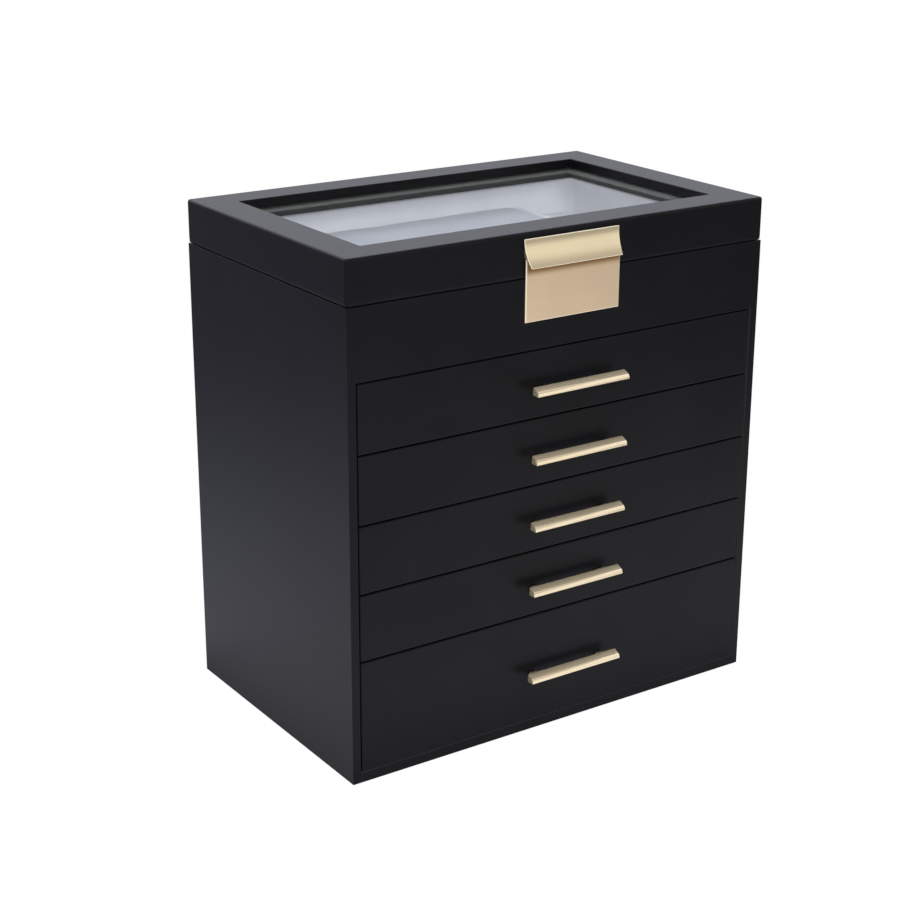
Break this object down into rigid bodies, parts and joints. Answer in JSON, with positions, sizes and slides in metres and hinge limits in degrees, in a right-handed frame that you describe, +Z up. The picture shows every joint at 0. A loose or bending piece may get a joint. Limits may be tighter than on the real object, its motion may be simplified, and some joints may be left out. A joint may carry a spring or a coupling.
{
  "type": "jewelry chest",
  "caption": "Tabletop jewelry chest: leatherette case with a hinged glass-window lid, a lined top tray with ring and watch pads, and full-width drawers with gold bar handles.",
  "frame": {"origin": "centre of the case's footprint, on the face that the chest rests on", "axes": "+Z up, -Y towards the drawer fronts, +X to the right seen from the front"},
  "size_m": [0.28, 0.1912, 0.295],
  "materials": {
    "leatherette": "fine-grained black leatherette, soft satin",
    "velvet": "short-pile pale blue-grey velvet",
    "board": "plain fibreboard, lined where it shows",
    "gold": "satin pale gold plating",
    "glass": "clear float glass with a faint green tint",
    "black_frame": "matt black",
    "steel": "zinc-plated steel",
    "magnet": "nickel-plated"
  },
  "bodies": {
    "case": {"case_wrap": "leatherette", "left_side": "leatherette", "right_side": "leatherette", "back_panel": "leatherette", "base_panel": "leatherette", "front_rail": "leatherette", "compartment_floor": "board", "shelf_1": "board", "shelf_2": "board", "shelf_3": "board", "shelf_4": "board", "top_liner": "velvet", "tray_divider": "velvet", "ring_pad": "velvet", "watch_pad": "velvet", "case_magnet": "magnet", "hinge_left_case_leaf": "gold", "hinge_left_pin": "steel", "hinge_left_case_screw_a": "gold", "hinge_left_case_screw_b": "gold", "hinge_right_case_leaf": "gold", "hinge_right_pin": "steel", "hinge_right_case_screw_a": "gold", "hinge_right_case_screw_b": "gold"},
    "lid": {"lid_frame": "leatherette", "lid_glass": "glass", "glass_retainer": "black_frame", "lid_pull": "gold", "clasp_plate": "gold", "hinge_left_lid_leaf": "gold", "hinge_left_lid_screw_a": "gold", "hinge_left_lid_screw_b": "gold", "hinge_right_lid_leaf": "gold", "hinge_right_lid_screw_a": "gold", "hinge_right_lid_screw_b": "gold"},
    "drawer_1": {"drawer_1_front": "leatherette", "drawer_1_tray": "board", "drawer_1_handle": "gold", "drawer_1_screw_left": "steel", "drawer_1_screw_right": "steel"},
    "drawer_2": {"drawer_2_front": "leatherette", "drawer_2_tray": "board", "drawer_2_handle": "gold", "drawer_2_screw_left": "steel", "drawer_2_screw_right": "steel"},
    "drawer_3": {"drawer_3_front": "leatherette", "drawer_3_tray": "board", "drawer_3_handle": "gold", "drawer_3_screw_left": "steel", "drawer_3_screw_right": "steel"},
    "drawer_4": {"drawer_4_front": "leatherette", "drawer_4_tray": "board", "drawer_4_handle": "gold", "drawer_4_screw_left": "steel", "drawer_4_screw_right": "steel"},
    "drawer_5": {"drawer_5_front": "leatherette", "drawer_5_tray": "board", "drawer_5_handle": "gold", "drawer_5_screw_left": "steel", "drawer_5_screw_right": "steel"}
  },
  "joints": [
    {"name": "lid_hinge", "type": "hinge", "parent": "case", "child": "lid", "pos_m": [0, 0.0901, 0.2698], "axis": [-1, 0, 0], "range_deg": [0, 100]},
    {"name": "drawer_1_slide", "type": "slide", "parent": "case", "child": "drawer_1", "axis": [0, -1, 0], "range_m": [0, 0.12]},
    {"name": "drawer_2_slide", "type": "slide", "parent": "case", "child": "drawer_2", "axis": [0, -1, 0], "range_m": [0, 0.12]},
    {"name": "drawer_3_slide", "type": "slide", "parent": "case", "child": "drawer_3", "axis": [0, -1, 0], "range_m": [0, 0.12]},
    {"name": "drawer_4_slide", "type": "slide", "parent": "case", "child": "drawer_4", "axis": [0, -1, 0], "range_m": [0, 0.12]},
    {"name": "drawer_5_slide", "type": "slide", "parent": "case", "child": "drawer_5", "axis": [0, -1, 0], "range_m": [0, 0.12]}
  ]
}
